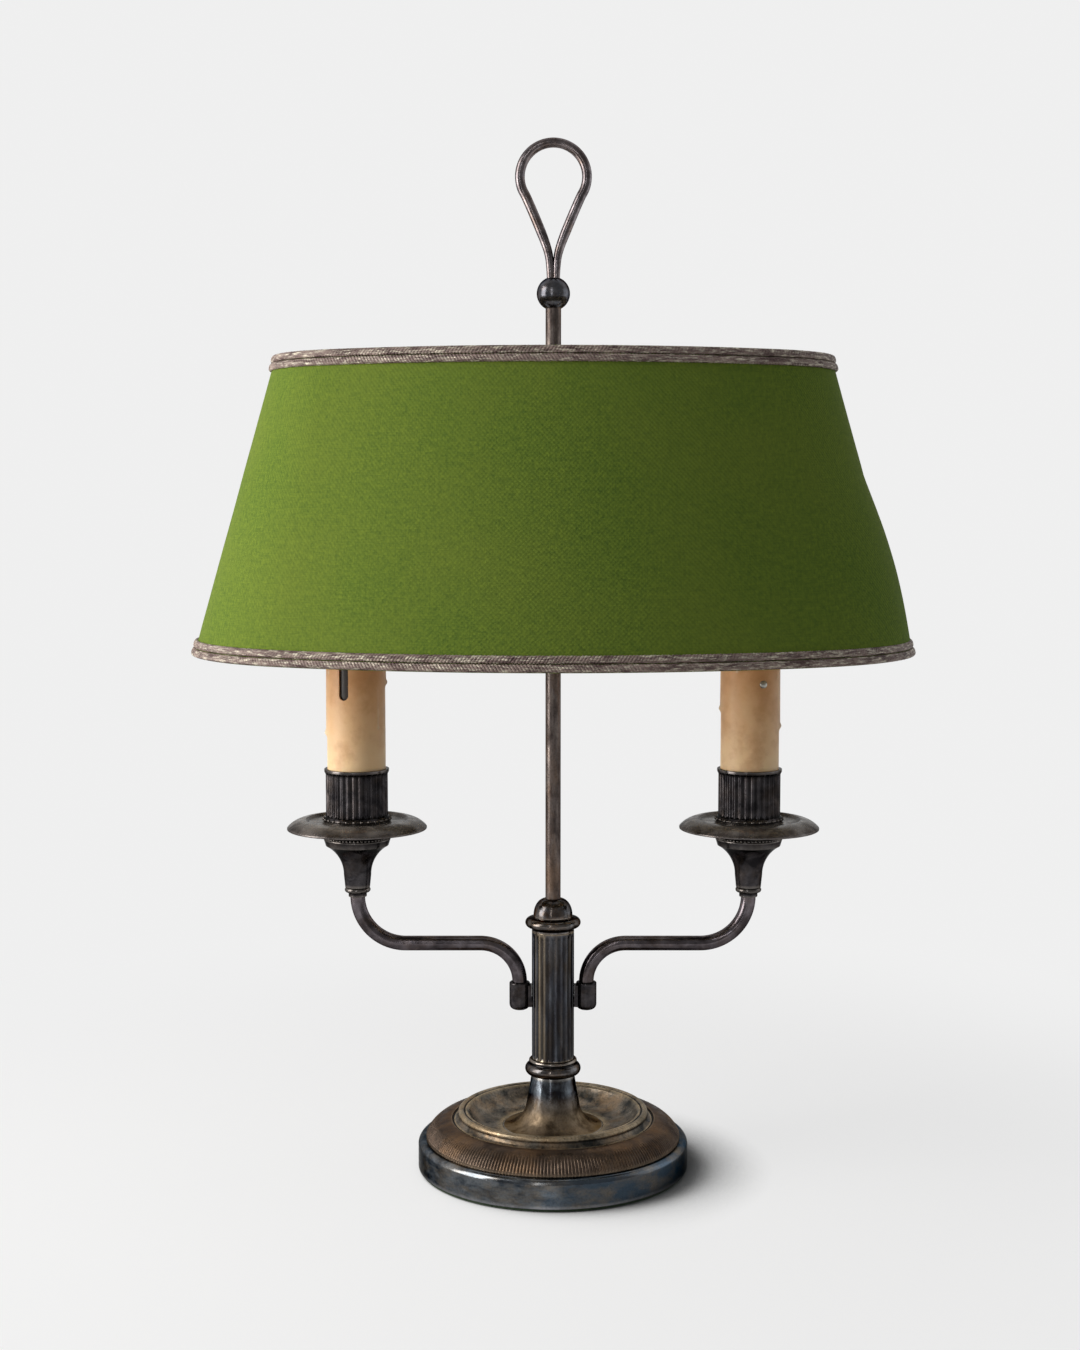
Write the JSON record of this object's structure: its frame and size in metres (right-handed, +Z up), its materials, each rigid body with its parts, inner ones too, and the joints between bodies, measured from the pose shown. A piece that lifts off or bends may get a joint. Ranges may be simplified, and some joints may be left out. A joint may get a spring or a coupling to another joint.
{
  "type": "bouillotte lamp",
  "caption": "Table lamp with a round dished base, a fluted column, S-shaped candle arms that swing, and an oval cloth shade that slides on a centre rod under a ball and loop.",
  "frame": {"origin": "centre of the base's underside, on the table", "axes": "+Z up along the column, +X towards the right-hand candle, the slotted and screwed sides of the candle sleeves face -Y, which is the front"},
  "size_m": [0.3258, 0.218, 0.4697],
  "materials": {
    "felt": "wool felt",
    "silver_plate": "tarnished silver plate on brass, satin with worn warm patches",
    "worn_plate": "silver plate worn to golden brown, mottled",
    "bronzed_brass": "brown-bronze brass, satin",
    "dark_brass": "blackened brass, satin",
    "rod_brass": "drawn brass, brown patina",
    "raw_brass": "turned brass, unplated",
    "cast_iron": "raw casting",
    "bushing": "black moulded bushing",
    "insulator": "dark phenolic moulding",
    "candle_card": "aged cream candle sleeve with wax drips",
    "bulb_cap": "nickel-plated",
    "bulb_glass": "satin glass",
    "frame_wire": "brass-plated steel wire",
    "lining": "cream laminated lining",
    "shade_cloth": "green woven cloth, matt",
    "braid": "metallic-thread braid, two cords"
  },
  "bodies": {
    "stand": {"felt_pad": "felt", "base_foot": "silver_plate", "base_ballast": "cast_iron", "base_washer": "raw_brass", "base_nut": "raw_brass", "cord_bushing": "bushing", "reeded_ring": "bronzed_brass", "counter_dish": "worn_plate", "column_neck": "silver_plate", "lower_collar": "silver_plate", "column": "silver_plate", "upper_collar": "worn_plate", "dome_cap": "worn_plate", "tie_tube": "raw_brass", "centre_rod": "rod_brass", "ball_finial": "silver_plate", "finial_loop": "silver_plate", "left_socket": "dark_brass", "right_socket": "dark_brass"},
    "left_arm": {"left_arm_tube": "dark_brass", "left_candle_stem": "dark_brass", "left_drip_pan": "dark_brass", "left_candle_cup": "dark_brass", "left_nipple": "raw_brass", "left_cup_nut": "raw_brass", "left_lampholder": "insulator", "left_candle_sleeve": "candle_card", "left_bulb_cap": "bulb_cap", "left_bulb_glass": "bulb_glass"},
    "right_arm": {"right_arm_tube": "dark_brass", "right_candle_stem": "dark_brass", "right_drip_pan": "dark_brass", "right_candle_cup": "dark_brass", "right_nipple": "raw_brass", "right_cup_nut": "raw_brass", "right_lampholder": "insulator", "right_candle_sleeve": "candle_card", "right_bulb_cap": "bulb_cap", "right_bulb_glass": "bulb_glass", "right_sleeve_screw": "bulb_cap"},
    "carrier": {"shade_carrier": "raw_brass", "carrier_nut": "raw_brass"},
    "thumbscrew": {"thumbscrew": "raw_brass"},
    "shade": {"shade_spider": "frame_wire", "shade_bottom_wire": "frame_wire", "shade_lining": "lining", "shade_cover": "shade_cloth", "shade_top_trim": "braid", "shade_bottom_trim": "braid"}
  },
  "joints": [
    {"name": "left_arm_swing", "type": "hinge", "parent": "stand", "child": "left_arm", "pos_m": [-0.0154, 0, 0.083], "axis": [0, 0, 1], "range_deg": [-25, 25]},
    {"name": "right_arm_swing", "type": "hinge", "parent": "stand", "child": "right_arm", "pos_m": [0.0154, 0, 0.083], "axis": [0, 0, 1], "range_deg": [-25, 25]},
    {"name": "shade_height", "type": "slide", "parent": "stand", "child": "carrier", "axis": [0, 0, 1], "range_m": [-0.02, 0.015]},
    {"name": "thumbscrew_turn", "type": "hinge", "parent": "carrier", "child": "thumbscrew", "pos_m": [0, 0.015, 0.35915], "axis": [0, 1, 0], "range_deg": [0, 360]},
    {"name": "shade_turn", "type": "hinge", "parent": "carrier", "child": "shade", "pos_m": [0, 0, 0.3707], "axis": [0, 0, 1], "range_deg": [-15, 15]}
  ]
}
